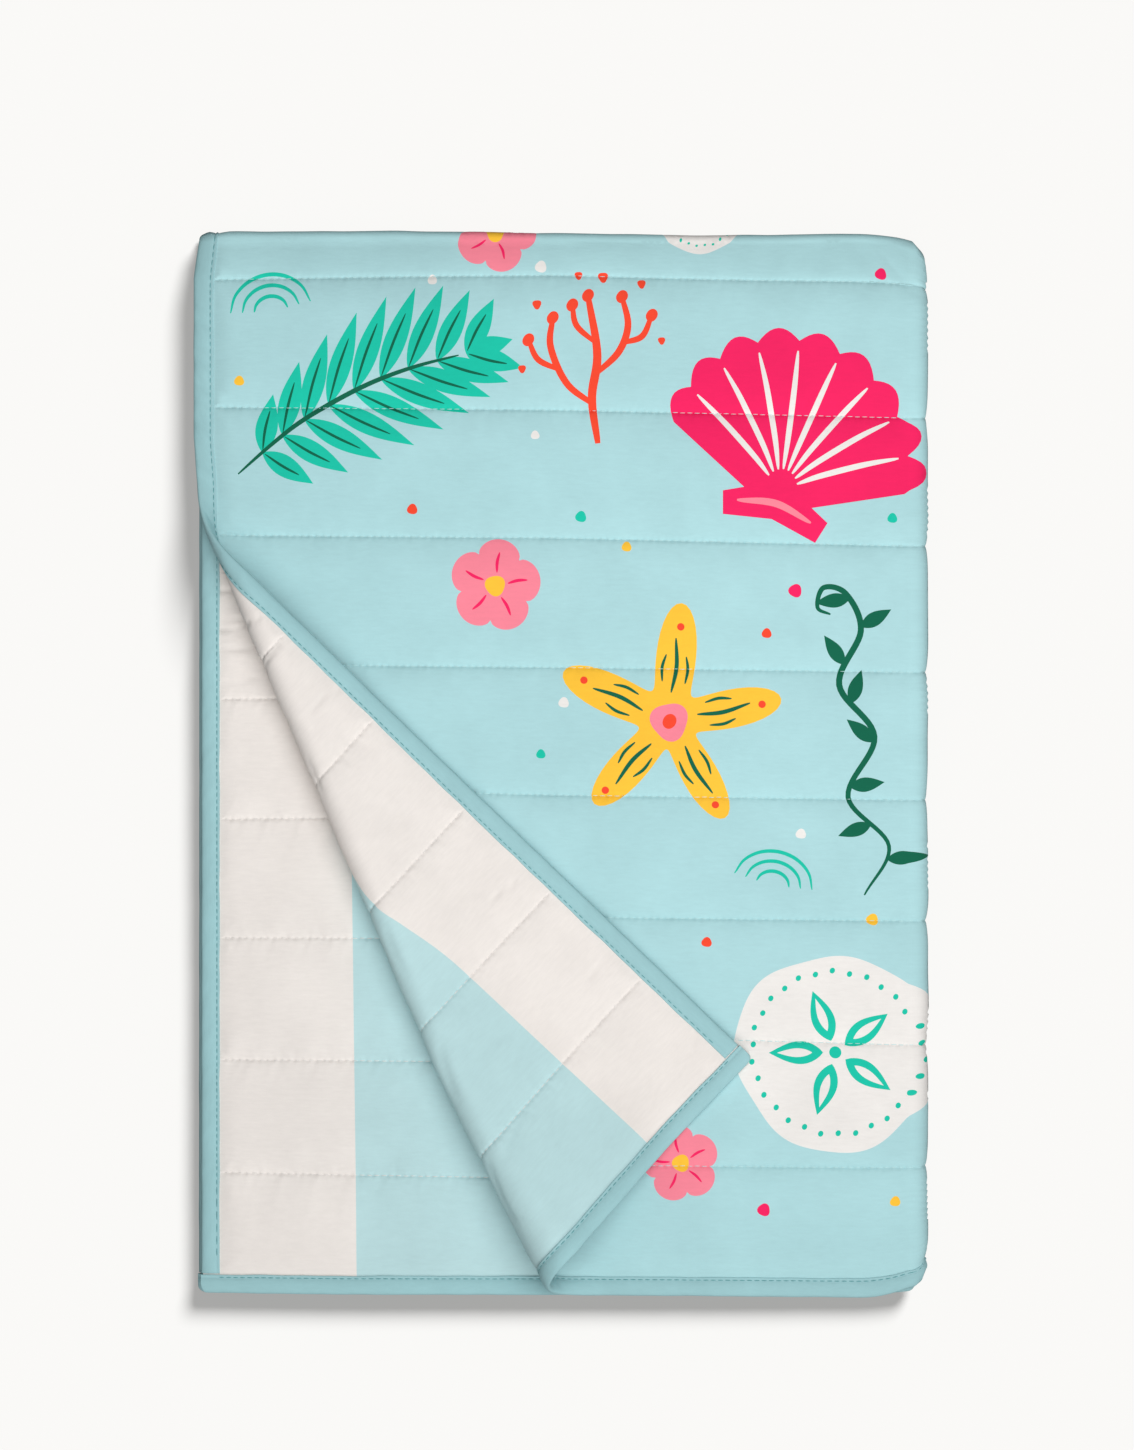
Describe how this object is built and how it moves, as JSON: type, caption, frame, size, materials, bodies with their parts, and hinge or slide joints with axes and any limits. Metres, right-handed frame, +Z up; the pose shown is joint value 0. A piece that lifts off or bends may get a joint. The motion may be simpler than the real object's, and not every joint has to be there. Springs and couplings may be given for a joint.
{
  "type": "folded quilted throw",
  "caption": "Quilted throw with a printed face, striped backing and bound edges, folded flat with a corner turned back.",
  "frame": {"origin": "centre of the folded throw seen from above, on the surface it lies on", "axes": "+Z up, +X towards the side fold, +Y towards the top fold, with the turned-back corner at -X -Y"},
  "size_m": [0.5153, 0.7474, 0.0709],
  "materials": {
    "printed_front": "printed cotton, matt with a faint sheen",
    "striped_backing": "woven cotton in broad aqua and off-white stripes, matt",
    "binding": "plain cotton strip, matt"
  },
  "bodies": {
    "root": {"front_panel": "printed_front", "back_panel": "striped_backing", "binding_left": "binding", "binding_right": "binding", "binding_bottom": "binding", "binding_top": "binding"}
  },
  "joints": []
}
